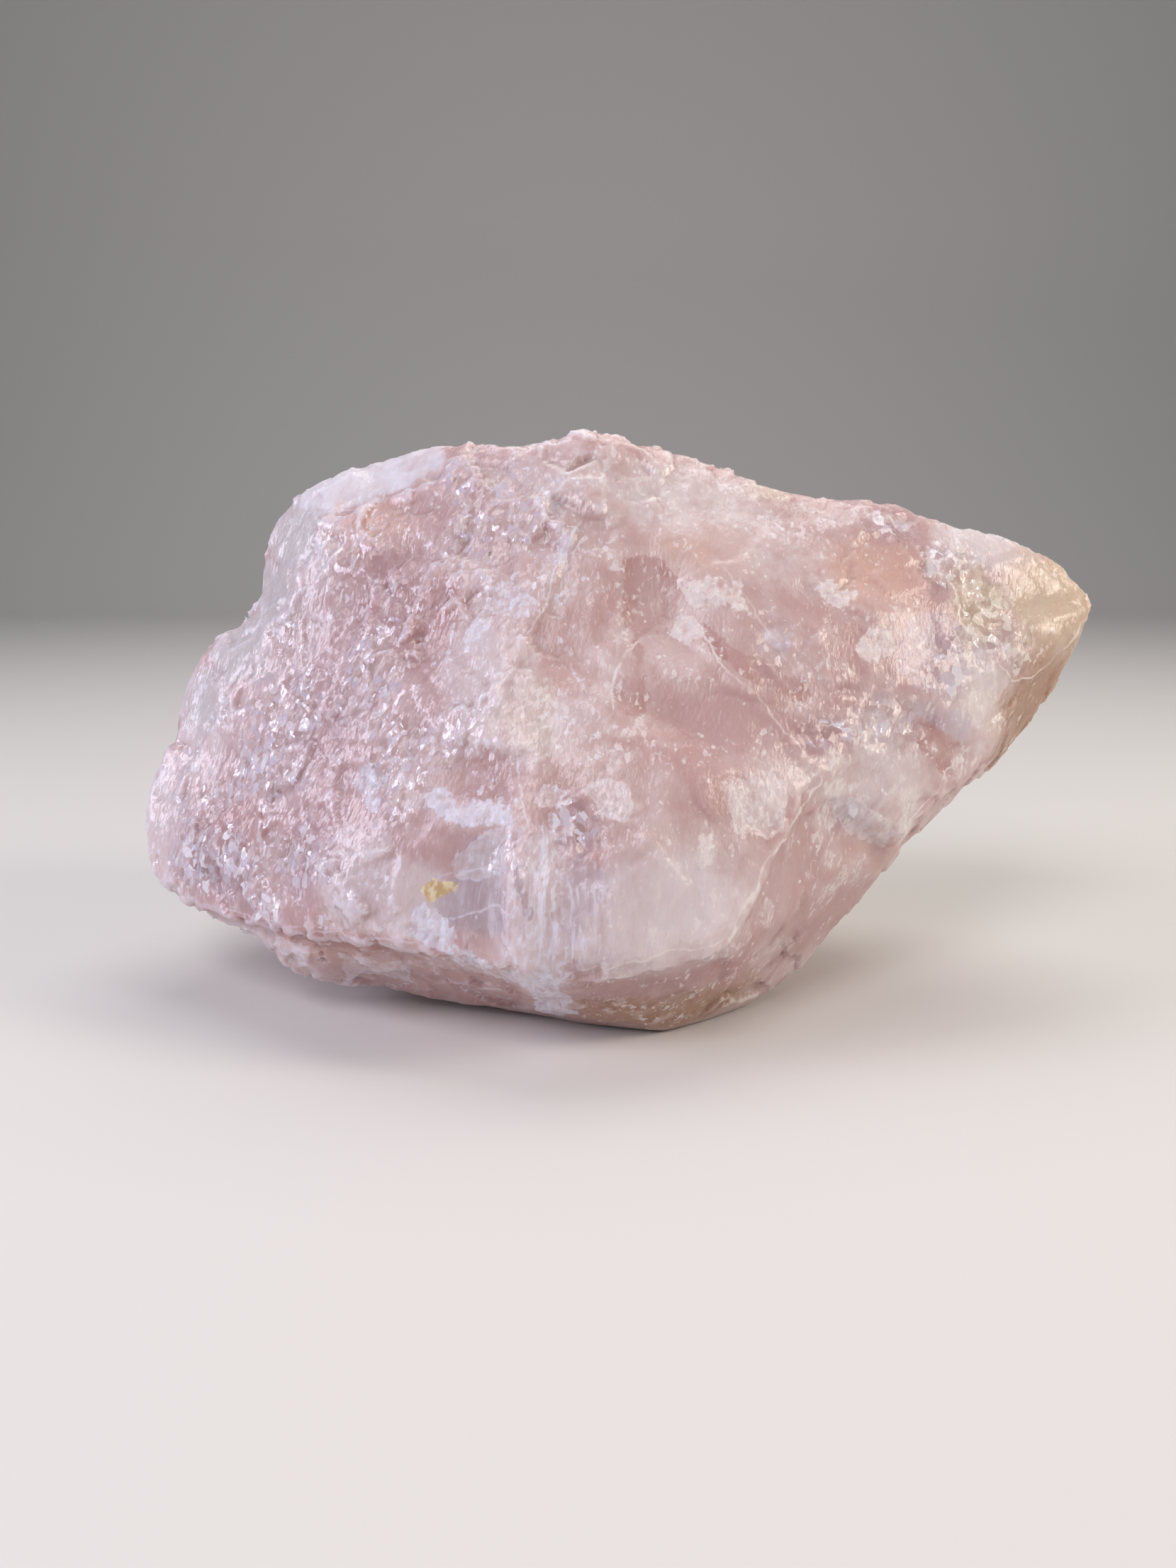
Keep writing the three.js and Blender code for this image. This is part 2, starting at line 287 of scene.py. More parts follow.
# Panes: plates with clean broken edges, on the skin or just under it: the corners (x, z) of each,
# in millimetres, going round it, as seen from the front.
PANES = {
    # Crushed to white powder.
    "crushed": [
        [(-27, 38.5), (-23.5, 38.5), (-21.5, 36), (-22, 33.5), (-24, 34), (-26.5, 36)],
        [(-23.5, 37.4), (-17, 37), (-14.5, 36.8), (-15, 35.2), (-18, 34), (-22, 33.8)],
        [(-29.5, 21.5), (-27.5, 23.2), (-25, 23), (-22.5, 20.5), (-21, 17), (-23, 15.5), (-28, 18)],
        [(-25, 17.5), (-21, 18), (-17, 15.5), (-17.5, 13.5), (-22, 13.5)],
        [(-13.4, 12), (-8, 13), (-6, 5), (-8, 2), (-12.5, 2.5)],
        [(-38.5, 39.5), (-34, 40), (-33, 36), (-34, 31), (-36, 30), (-35.8, 35)],
        [(34, 56.5), (36, 58.8), (40.5, 58), (41, 55), (37.5, 53.6), (35.2, 54.2)],
        [(29.5, 65), (32, 65.3), (35, 64), (33.8, 62), (30.5, 62.3)],
        [(31, 74), (33, 75), (34.8, 72.4), (34.3, 71.2), (31.2, 72.8)],
        [(9.5, 65), (12.5, 66.2), (18.5, 65.5), (18.3, 61.5), (13.5, 60.8), (10.5, 62)],
        [(8.2, 60.5), (10.5, 61), (12, 58.5), (9.5, 56.8), (6.8, 57.8)],
        [(35.5, 34.2), (38.5, 33), (41, 28), (40, 26), (37.5, 29)],
        [(9.6, 33.5), (12.5, 33.2), (13, 29.5), (10.5, 29)],
    ],
    # Pale plates and flakes.
    "pane": [
        [(-18.5, 33.3), (-15, 35), (-15, 31), (-16, 28.5), (-19, 27.2), (-22.5, 27.3), (-23, 29.5)],
        [(-12.9, 34.4), (-10.3, 33.8), (-9.9, 28), (-12.2, 28)],
        [(-12.2, 29), (-9.9, 29), (-10.6, 19.5), (-12.4, 19.5)],
        [(-4.8, 39), (-1.5, 40.2), (1, 39.6), (1, 36.5), (0.4, 35.3), (-1.4, 35.8), (-3.6, 37.6)],
        [(-11.2, 39), (-9.5, 39.8), (-7.8, 38.6), (-8.4, 37.3), (-10.5, 36.8), (-12, 37.4)],
        [(13.4, 39.2), (15, 40.8), (21.2, 40.2), (23.2, 36.6), (22.6, 33.2), (20.6, 31.6), (16.4, 33.2)],
        [(29.3, 37.3), (35, 34.4), (39, 30), (40, 26), (34.5, 29), (31, 33)],
        [(-59, 14), (-54, 14.6), (-46, 12.2), (-48, 9.5), (-54, 10.5)],
        [(-41.5, 11.8), (-30, 12.2), (-31.5, 7), (-40, 7)],
        [(52.3, 76), (51.6, 67), (52.6, 65.4), (58, 68), (66, 71), (66, 74), (58, 80)],
        [(53, 58), (60, 50), (54, 43), (53, 46)],
    ],
    # Frosted and smooth, nearly white.
    "frosted": [
        [(-52, 75.5), (-48, 81), (-40.5, 86), (-33, 88), (-26, 89), (-25, 82.5), (-28.2, 79.6), (-43, 75)],
    ],
    # Milky, under a clean skin.
    "veiled": [
        [(29, 38.3), (14.5, 18.6), (8.7, 17.7), (0.3, 17.1), (-5, 16), (-8, 24), (4, 40), (20, 44)],
    ],
    # Deeper rose, seen through a clean skin, with painted shade darkest along their edges.
    "deep": [
        [(0.4, 66), (1.5, 69), (4, 70), (6.6, 69), (9, 65), (8.4, 60.5), (6, 58.8), (2.4, 57.6), (0.6, 60)],
        [(2.4, 58.6), (3.8, 56), (4.2, 51), (3.4, 48), (-1, 48.4), (-1.2, 50.5), (0.4, 55)],
        [(11, 59.6), (18.8, 60), (25, 52.8), (31, 49.6), (22, 49.8), (16, 52.8)],
        # Painted shadow under the pale facet.
        [(42, 47.2), (51.5, 41.4), (53.5, 38), (46.5, 37), (43.4, 43)],
        [(-59, 32.5), (-53, 33), (-49.5, 29), (-54, 26.6), (-59, 26.6), (-63.5, 29.5)],
        [(-63, 15.6), (-48, 15.6), (-27, 18), (-26.5, 14), (-44, 12.4), (-60, 13.5)],
        [(-33, 16.8), (-26, 17.4), (-26, 14), (-34, 13)],
        [(-26, 12.2), (-18, 12.5), (-13.8, 11), (-13.5, 6), (-16, 1.5), (-25, 3)],
    ],
    # Dusky: painted shade down a slit, under a clear skin.
    "painted_slit_shade": [
        [(-15.4, 34), (-14.3, 33.8), (-12.9, 29), (-11.4, 24.3), (-12.4, 23.3), (-14.2, 28)],
    ],
    # Stained by iron.
    "stain": [
        [(-27.2, 25.3), (-25.7, 27.3), (-21.7, 26.8), (-23.2, 24.4), (-25.9, 23.3)],
    ],
    # Rosy, a little deeper than the ground round it.
    "rosy": [
        [(9, 50), (16.5, 52.3), (24, 45.3), (28, 39.8), (22, 41.5), (15, 41.8), (8, 43)],
        [(28.8, 38), (32.6, 31.4), (40.5, 24.5), (39, 18.5), (30, 12), (15.5, 17), (20.5, 28)],
    ],
    # Lilac, where a clear skin lets the sky in.
    "lilac": [
        [(40.5, 57), (44, 60), (48, 61.2), (51.6, 58.4), (52, 52), (49, 48.4), (43, 49.6), (40, 52.5)],
        [(39.5, 50), (43.5, 48.8), (52, 47.8), (54, 46), (53.4, 42.4), (51, 41.4), (41.6, 47.4)],
        [(-17.6, 22.4), (-16, 24.4), (-15, 23), (-15, 19.5), (-16.4, 18.4), (-17.4, 20)],
        [(-8, 29.4), (-6, 32.4), (-4.5, 32.4), (-1, 28.4), (-2.6, 26), (-6, 18), (-7.5, 18)],
    ],
}

# Cracks that show as fine white lines: their ends (x, z) in millimetres and their strength.
CRACKS = [
    ((-6.2, 73), (-7.8, 68.9), 1.0),
    ((-7.8, 68.9), (-9.8, 65.3), 1.0),
    ((-9.8, 65.3), (-10.8, 61.7), 0.9),
    ((-10.8, 61.7), (-12.8, 59), 0.7),
    ((-6.2, 73), (-4.6, 76), 0.6),
    ((2.5, 57.3), (0.7, 55.5), 0.9),
    ((0.7, 55.5), (-1, 51.7), 0.9),
    ((-1, 51.7), (-1.4, 48.3), 0.7),
    ((9, 60.5), (16.5, 52.6), 0.8),
    ((16.5, 52.6), (28.6, 39), 0.7),
    ((28.9, 38.6), (21.6, 29.7), 1.0),
    ((21.6, 29.7), (14.5, 18.6), 1.0),
    ((15, 67), (25.6, 52.5), 0.5),
    ((51.6, 67), (52.6, 73), 0.8),
    ((51, 63), (52.2, 58.4), 0.9),
    ((52.2, 58.4), (60.5, 49.6), 1.0),
    ((60.5, 49.6), (67, 50.8), 1.0),
    ((67, 50.8), (75, 58.6), 0.9),
    ((53.5, 42.5), (41.5, 27), 0.9),
    ((-47.5, 75), (-27, 79), 0.6),
    ((-62, 16), (-27, 18), 0.5),
    ((-12.6, 36), (-14.6, 44), 0.7),
    ((-10.3, 35), (-10.3, 21), 0.7),
    ((-24, 27.2), (-16, 29.4), 0.6),
    ((-23, 21.8), (-16, 24.2), 0.6),
    ((-8, 14.6), (0.3, 17.1), 0.8),
    ((0.3, 17.1), (14.5, 18.6), 0.9),
]

# Spalls: thin plates that split off. A step `deep` runs from the first point to the second, and
# the new face on the side of the third point runs out to nothing there. Millimetres.
SPALLS = [
    ((29, -22, 41), (13, -34, 14), (42, -10, 22), 0.4),
    ((-15, -31, 39), (-15.5, -37, 11), (-29, -30, 24), 0.3),
    ((-28, -27, 34), (-15, -31, 33.5), (-20, -32, 21), 0.2),
    ((6, -14, 61), (29, -22, 38), (7, -25, 43), 0.25),
    ((-6, -12, 74), (-12, -17, 60), (6, -14, 66), 0.5),
    ((-12, -17, 60), (-17, -24, 49), (0, -20, 54), 0.35),
    ((-66, -8, 15), (-26, -31, 16.5), (-48, -14, 6), 1.2),
    ((-5, -36, 13), (15, -33, 17), (6, -26, 3), 0.8),
    ((-43, -1, 73.5), (-25, -3, 80), (-34, 1, 85), 0.8),
    ((-45, -3, 72), (-70, -1, 33), (-76, 5, 54), 0.6),
    ((-25, -24, 45), (-13, -27, 43.5), (-19, -30, 36), 0.6),
    ((-40, -18, 40), (-32, -22, 41), (-36, -25, 31), 0.5),
    ((27, -8, 66), (37, -9, 60), (30, -13, 57), 0.4),
    ((41, 2, 74), (47, -3, 62), (62, 3, 64), 0.6),
    ((-50, 23, 71), (-18, 38, 56), (-34, 40, 40), 0.7),
    ((20, 36, 54), (24, 32, 20), (56, 26, 42), 0.5),
    ((-56, 30, 50), (-46, 33, 18), (-72, 19, 32), 0.8),
    ((-10, 27, 78), (34, 24, 68), (12, 38, 48), 0.5),
    ((30, 30, 60), (64, 17, 60), (52, 28, 44), 0.5),
    ((-30, 36, 30), (8, 37, 28), (-10, 33, 8), 0.4),
]

# Dents: shell-shaped hollows. Centre and half-widths in millimetres, then depth.
DENTS = [
    ((4, -12, 64), (6.5, 8, 9), 0.4),
    ((14, -17, 56), (5.5, 7, 5), 0.3),
    ((8, -22, 47), (11, 8, 9), 0.4),
    ((23, -16, 54), (8, 8, 7), 0.3),
    ((-25, -15, 59), (9, 9, 8), 0.5),
    ((-19, -28, 40), (6, 7, 4), 0.5),
    ((38, -4, 67), (12, 8, 7), 0.6),
    ((-58, -9, 32), (8, 8, 5), 0.5),
    ((18, -28, 36), (8, 8, 6), 0.3),
    ((-6, 38, 40), (16, 8, 14), 1.2),
    ((40, 30, 40), (10, 10, 12), 0.9),
    ((-52, 28, 60), (12, 10, 9), 0.9),
    ((10, 16, 80), (14, 12, 6), 0.8),
]


class Signal:
    """The output of a node in a tree. Sums and products of signals add their own math nodes."""

    def __init__(self, tree, socket=None):
        self.tree = tree
        self.socket = socket

    def node(self, kind, settings=None, inputs=None, output=0):
        """A new node of any kind, its settings made first and its inputs given or linked next."""
        made = self.tree.nodes.new(kind)
        for name, value in (settings or {}).items():
            setattr(made, name, value)
        for key, value in (inputs or {}).items():
            socket = pick(made.inputs, key)
            if isinstance(value, Signal):
                self.tree.links.new(value.socket, socket)
            else:
                socket.default_value = value
        return Signal(self.tree, pick(made.outputs, output) if made.outputs else None)

    def beside(self, output):
        """Another output of the node that this signal comes from."""
        return Signal(self.tree, pick(self.socket.node.outputs, output))

    def math(self, operation, *values):
        """A math node, or one for vectors when any of the values is a vector."""
        vectors = [value for value in values if is_vector(value)]
        if not vectors:
            return self.node("ShaderNodeMath", {"operation": operation}, dict(enumerate(values)))
        numbers = [v for v in values if isinstance(v, Signal) and v not in vectors]
        if operation == "MULTIPLY" and numbers:
            scaled = {"Vector": vectors[0], "Scale": numbers[0]}
            return self.node("ShaderNodeVectorMath", {"operation": "SCALE"}, scaled)
        spread = {i: (v,) * 3 if isinstance(v, float) else v for i, v in enumerate(values)}
        return self.node("ShaderNodeVectorMath", {"operation": operation}, spread)

    def __add__(self, other):
        return self.math("ADD", self, other)

    def __radd__(self, other):
        return self.math("ADD", other, self)

    def __sub__(self, other):
        return self.math("SUBTRACT", self, other)

    def __rsub__(self, other):
        return self.math("SUBTRACT", other, self)

    def __mul__(self, other):
        return self.math("MULTIPLY", self, other)

    def __rmul__(self, other):
        return self.math("MULTIPLY", other, self)

    def __truediv__(self, other):
        return self.math("DIVIDE", self, other)

    def __rtruediv__(self, other):
        return self.math("DIVIDE", other, self)

    def __neg__(self):
        return self.math("SUBTRACT", 0.0, self)

    def __abs__(self):
        return self.math("ABSOLUTE", self)

    def dot(self, other):
        settings = {"operation": "DOT_PRODUCT"}
        return self.node("ShaderNodeVectorMath", settings, {0: self, 1: other}, "Value")

    def length(self):
        return self.node("ShaderNodeVectorMath", {"operation": "LENGTH"}, {0: self}, "Value")

    def larger(self, other):
        return self.math("MAXIMUM", self, other)

    def smaller(self, other):
        return self.math("MINIMUM", self, other)

    def ramp(self, start, end, low=0.0, high=1.0):
        """Goes smoothly from low to high as this signal goes from start to end."""
        settings = {"interpolation_type": "SMOOTHSTEP"}
        span = {"Value": self, "From Min": start, "From Max": end, "To Min": low, "To Max": high}
        return self.node("ShaderNodeMapRange", settings, span)

    def mix(self, first, second):
        """Goes from the first colour to the second as this signal goes from 0 to 1."""
        return self.node(
            "ShaderNodeMix",
            {"data_type": "RGBA"},
            {"Factor": self, "A": first, "B": second},
            "Result",
        )


def pick(sockets, key):
    """A socket by its place, or the one in use among those that share a name."""
    if isinstance(key, int):
        return sockets[key]
    return next(s for s in sockets if s.name == key and s.enabled)


def is_vector(value):
    """Whether a value is a vector or a colour, and not a single number."""
    if isinstance(value, Signal):
        return value.socket.type in ("VECTOR", "RGBA", "ROTATION")
    return isinstance(value, tuple)


def noise(place, size, detail=2.0, output="Fac"):
    """Soft random clouds about `size` across, from 0 to 1 about a middle of 0.5."""
    inputs = {"Vector": place, "Scale": 1.0 / size, "Detail": detail}
    return place.node("ShaderNodeTexNoise", {"noise_dimensions": "3D"}, inputs, output)


def swing(place, size, detail):
    """The same clouds, but about a middle of 0, so that they can be added to a mask."""
    return (noise(place, size, detail) - 0.5) * 3.0


def ragged(place, size, amount):
    """The place moved about at random, so that an edge drawn over it wanders as a break does."""
    return place + (noise(place, size, 1.0, "Color") - (0.5, 0.5, 0.5)) * amount


def grain_way(place):
    """The place pressed along the grain, so that what is drawn in it comes out long that way."""
    upright = place.node("ShaderNodeSeparateXYZ", None, {"Vector": place}, "Z")
    return place * (1.0, 1.0, GRAIN_PRESS) + upright * (GRAIN_SLANT, 0.0, 0.0)


def facets(place, torn, size, lean, step):
    """Height of ground broken into flat cells: each leans by `lean` and stands off by `step`."""
    inputs = {"Vector": torn, "Scale": 1.0 / size, "Randomness": 1.0}
    cell = place.node("ShaderNodeTexVoronoi", {"feature": "F1"}, inputs, "Color")
    chance = cell - (0.5, 0.5, 0.5)
    within = place - cell.beside("Position")
    return chance.dot(within) * (2.0 * lean) + chance.dot((step, 0.0, 0.0))


def flakes(place, torn, size, rare):
    """Cells of the broken ground: which stand out as flakes, their height, a tint, and dots."""
    inputs = {"Vector": torn, "Scale": 1.0 / size, "Randomness": 1.0}
    cell = place.node("ShaderNodeTexVoronoi", {"feature": "F1"}, inputs, "Color")
    dots = cell.beside("Distance").ramp(0.22, 0.12) * cell.dot((0.0, 0.0, 1.0)).ramp(0.72, 0.76)
    return SimpleNamespace(
        bright=cell.dot((1.0, 0.0, 0.0)).ramp(rare, rare + 0.25),
        height=(cell - (0.5, 0.5, 0.5)).dot(place - cell.beside("Position")) * 0.9,
        tint=cell.dot((0.0, 1.0, 0.0)),
        dots=dots,
    )


def hooks(place, size, width):
    """Short curved white lines, `width` of them being a share of the noise they are drawn from."""
    across = noise(place, size, 0.0) - 0.5
    return abs(across).ramp(width, width * 0.4)


def wander(points, size, amount):
    """The points moved about at random, so that an edge drawn over them wanders as a break does."""
    turbulence.seed_set(WANDER_SEED)
    moves = [turbulence.turbulence_vector(point / size, 3, False) for point in points]
    return points + np.array(moves) * amount


def smooth(values, start, end):
    """Goes smoothly from 0 to 1 as the values go from start to end."""
    share = np.clip((values - start) / (end - start), 0.0, 1.0)
    return share * share * (3.0 - 2.0 * share)


def patches(points, kind):
    """Strength, from 0 to 1, of one kind of patch."""
    total = np.zeros(len(points))
    for centre, reach, strength, softness in PATCHES[kind]:
        away = np.linalg.norm((points - centre) / reach, axis=1)
        patch = strength * smooth(away, 1.15 + softness * 0.35, 0.85 - softness * 0.75)
        total = np.maximum(total, patch)
    return total


def panes(points, kind):
    """How far inside the nearest plate of a kind a point is, in millimetres; 0 is its edge."""
    total = np.full(len(points), -PANE_REACH)
    for corners in PANES[kind]:
        corners = np.array(corners, dtype=float)
        middle = corners.mean(axis=0)
        inside = np.full(len(points), np.inf)
        for corner, following in zip(corners, np.roll(corners, -1, axis=0)):
            run = (following - corner) / np.linalg.norm(following - corner)
            inward = np.array([-run[1], run[0]])
            inward *= np.sign(inward @ (middle - corner))
            inside = np.minimum(inside, (points[:, [0, 2]] - corner) @ inward)
        total = np.maximum(total, inside)
    return np.minimum(total, PANE_REACH)


def cracks(points):
    """Which side of the nearest crack a point is on and how far off, and how strong it is there."""
    side, near, nearest = np.zeros(len(points)), np.zeros(len(points)), np.full(len(points), np.inf)
    for start, end, strength in CRACKS:
        start, along = np.array(start, dtype=float), np.subtract(end, start).astype(float)
        long = np.linalg.norm(along)
        from_start = points[:, [0, 2]] - start
        run = from_start @ along / long
        off = from_start @ np.array([-along[1], along[0]]) / long
        past_end = np.maximum(np.maximum(-run, run - long), 0.0)
        away = np.hypot(off, past_end)
        closer = away < nearest
        side = np.where(closer, off, side)
        near = np.where(closer, strength * smooth(away, 1.6, 0.8) * smooth(past_end, 0.8, 0.0), near)
        nearest = np.minimum(nearest, away)
    return side, near


def spalls(points):
    """Depth, in millimetres, to which spalls have split off."""
    total = np.zeros(len(points))
    for start, end, far, deep in SPALLS:
        start, end, far = (np.array(point, dtype=float) for point in (start, end, far))
        along = end - start
        across = far - start
        across -= along * (across @ along) / (along @ along)
        run = (points - start) @ along / (along @ along)
        side = (points - start) @ across / (across @ across)
        reach = 1.1 * max(np.linalg.norm(along), np.linalg.norm(across))
        away = np.linalg.norm(points - (start + end + far) / 3, axis=1) / reach
        held = smooth(run, -0.12, 0.1) * smooth(run, 1.12, 0.9) * smooth(away, 1.0, 0.75)
        total += deep * held * smooth(side, 0.0, 0.035) * smooth(side, 1.0, 0.0)
    return total


def dents(points):
    """Depth, in millimetres, of the shells that have been struck out."""
    total = np.zeros(len(points))
    for centre, reach, deep in DENTS:
        away = np.linalg.norm((points - centre) / reach, axis=1)
        total = np.maximum(total, deep * np.maximum(1.0 - away * away, 0.0))
    return total


def mark_points(mesh):
    """Stores on the points of the mesh what the broken ground is like there."""
    points = np.empty(len(mesh.vertices) * 3)
    mesh.vertices.foreach_get("co", points)
    points = points.reshape(-1, 3) / MM
    torn = wander(points, 6.0, 1.2)
    marks = {kind: patches(torn, kind) for kind in PATCHES}
    marks |= {kind: panes(points, kind) for kind in PANES}
    marks["crack_side"], marks["crack_near"] = cracks(wander(points, 4.0, 0.8))
    frosted = smooth(marks["frosted"], -0.5, 0.8) * smooth(points[:, 1], 24.0, 16.0)
    marks["sugar"] *= (1.0 - frosted) * (1.0 - 0.9 * marks["thin"])
    marks["sugar"] *= 1.0 - 0.7 * np.maximum(marks["rose"], marks["peach"])
    marks["carved"] = spalls(wander(points, 3.0, 0.8)) + dents(torn)
    for name, values in marks.items():
        mesh.attributes.new(name, "FLOAT", "POINT").data.foreach_set("value", values)


def furrows(place):
    """Height of fine ribs that run up the face, where it split along old cracks."""
    bent = ragged(place, 7.0 * MM, 2.4 * MM)
    rib = noise(bent * (1.0, 0.5, 0.12), FURROW_SIZE, 1.0) - 0.5
    return rib * (2.0 * FURROW)


def blurred(geometry, passes, share=1.0):
    """Where each point comes to after moving a share towards its neighbours a number of times."""
    here = geometry.node("GeometryNodeInputPosition")
    inputs = {"Value": here, "Iterations": passes, "Weight": share}
    return here.node("GeometryNodeBlurAttribute", {"data_type": "FLOAT_VECTOR"}, inputs, "Value")


def store(geometry, name, value):
    """The mesh with a number stored on each point, for the material to read."""
    inputs = {"Geometry": geometry, "Name": name, "Value": value}
    return geometry.node("GeometryNodeStoreNamedAttribute", {"data_type": "FLOAT"}, inputs)


def proudness(geometry, passes):
    """How far each point stands out from the ground round it, in metres."""
    here = geometry.node("GeometryNodeInputPosition")
    return (here - blurred(geometry, passes)).dot(geometry.node("GeometryNodeInputNormal"))


def breaking_tree(material):
    """Geometry Nodes that turn the plain solid into broken stone."""
    tree = bpy.data.node_groups.new("broken_quartz", "GeometryNodeTree")
    tree.interface.new_socket("Geometry", in_out="INPUT", socket_type="NodeSocketGeometry")
    for name in ("Plate size", "Chip size", "Grain size"):
        tree.interface.new_socket(name, in_out="INPUT", socket_type="NodeSocketFloat")
    tree.interface.new_socket("Geometry", in_out="OUTPUT", socket_type="NodeSocketGeometry")
    solid = Signal(tree).node("NodeGroupInput")
    plate_size = solid.beside("Plate size")
    chip_size = solid.beside("Chip size")
    grain_size = solid.beside("Grain size")

    def marked(name):
        settings = {"data_type": "FLOAT"}
        return solid.node("GeometryNodeInputNamedAttribute", settings, {"Name": name}, "Attribute")

    def moved(geometry, **how):
        return geometry.node("GeometryNodeSetPosition", None, {"Geometry": geometry, **how})

    sugar, clear, sound = marked("sugar"), marked("clear"), marked("sound")
    eased = moved(solid, Position=blurred(solid, WORN_PASSES, sound * 0.85 + 0.15))
    place = solid.node("GeometryNodeInputPosition")
    torn = ragged(place, 6.0 * MM, 3.0 * MM)
    swell = (noise(place, SWELL_SIZE) - 0.5) * (2.0 * SWELL)
    plates = facets(place, torn, plate_size, PLATE_LEAN, PLATE_STEP)
    chips = facets(place, ragged(place, 3.0 * MM, 1.4 * MM), chip_size, CHIP_LEAN, CHIP_STEP)
    slender = grain_way(place)
    grain = facets(slender, ragged(slender, 1.5 * MM, 0.5 * MM), grain_size, GRAIN_LEAN, GRAIN_STEP)
    height = swell + (plates + chips) * (1.0 - sound * 0.7)
    height = height + grain * (0.14 + sugar * 0.86) * (1.0 - clear)
    height = height + furrows(place) * marked("combed") - marked("carved") * MM

    edge = proudness(solid, EDGE_PASSES)
    nibbled = noise(ragged(place, 2.0 * MM, 1.5 * MM), NIBBLE_SIZE).ramp(0.42, 0.62)
    height = height - edge.larger(0.0) * nibbled * NIBBLE
    eased = store(eased, "ridge", edge / MM)

    # The break it stands on stays flat: the ground fades out there and nothing goes below it.
    level = place.node("ShaderNodeSeparateXYZ", None, {"Vector": place}, "Z")
    height = height * level.ramp(0.2 * MM, 4.0 * MM)
    broken = moved(eased, Offset=solid.node("GeometryNodeInputNormal") * height)
    grounded = broken.node("GeometryNodeInputPosition").larger((-1.0, -1.0, 0.0))
    broken = moved(broken, Position=grounded)

    kept = store(broken, "proud", proudness(broken, PROUD_PASSES) / MM)
    whole = kept.node("GeometryNodeRealizeInstances", None, {"Geometry": kept})
    painted = whole.node("GeometryNodeSetMaterial", None, {"Geometry": whole, "Material": material})
    end = tree.nodes.new("NodeGroupOutput")
    tree.links.new(painted.socket, end.inputs[0])
    return tree


# The colours of the stone, from the common pink to those of single marks. Each ends in an alpha.
COLOURS = {
    "pink": (0.55, 0.35, 0.34, 1),
    "pale pink": (0.65, 0.495, 0.485, 1),
    "rose": (0.47, 0.26, 0.25, 1),
    "peach": (0.66, 0.41, 0.34, 1),
    "milk": (0.73, 0.64, 0.65, 1),
    "cream": (0.60, 0.46, 0.33, 1),
    # Painted shade, warmed as by light thrown up from below.
    "tan_painted_shade": (0.40, 0.22, 0.13, 1),
    "thin": (0.58, 0.54, 0.56, 1),
    "clear": (0.48, 0.40, 0.45, 1),
    "pane": (0.79, 0.74, 0.77, 1),
    "veiled": (0.80, 0.71, 0.74, 1),
    "frosted": (0.77, 0.75, 0.82, 1),
    "lilac": (0.57, 0.48, 0.57, 1),
    "rosy": (0.58, 0.38, 0.375, 1),
    "deep": (0.47, 0.25, 0.235, 1),
    # Painted shade down the slit.
    "painted_slit_shade": (0.41, 0.29, 0.31, 1),
    "grain": (0.43, 0.28, 0.325, 1),
    "pale streak": (0.75, 0.66, 0.71, 1),
    "dark streak": (0.44, 0.28, 0.31, 1),
    "pale rib": (0.80, 0.76, 0.85, 1),
    "dark rib": (0.48, 0.34, 0.39, 1),
    "hook": (0.82, 0.76, 0.79, 1),
    # Painted glints on the flakes.
    "painted lilac glint": (0.76, 0.72, 0.87, 1),
    "painted pink glint": (0.86, 0.76, 0.78, 1),
    "painted bright glint": (0.94, 0.92, 0.98, 1),
    "painted cream glint": (0.98, 0.82, 0.64, 1),
    # Whites tinted by painted light: cool at the left, warm at the right.
    "white in painted cool light": (0.79, 0.77, 0.88, 1),
    "white in painted warm light": (0.86, 0.78, 0.77, 1),
    "cream white": (0.90, 0.80, 0.70, 1),
    "grey in powder": (0.67, 0.58, 0.63, 1),
    # Painted shade, laid in the hollows.
    "hollow": (0.45, 0.23, 0.23, 1),
    "ochre": (0.62, 0.42, 0.17, 1),
    "pale ochre": (0.84, 0.73, 0.48, 1),
    "speck": (0.16, 0.09, 0.05, 1),
}

# The patches that only change the colour, in the order they are laid on: how ragged the edge of
# each is, and how much of its colour shows.
TINTED = {
    "rose": (0.4, 0.9),
    "peach": (0.4, 0.85),
    "milk": (0.6, 0.78),
    "cream": (0.6, 0.9),
    # Painted shade, low down.
    "tan_painted_shade": (0.6, 1.0),
    "thin": (0.2, 0.9),
    "clear": (0.4, 0.7),
}


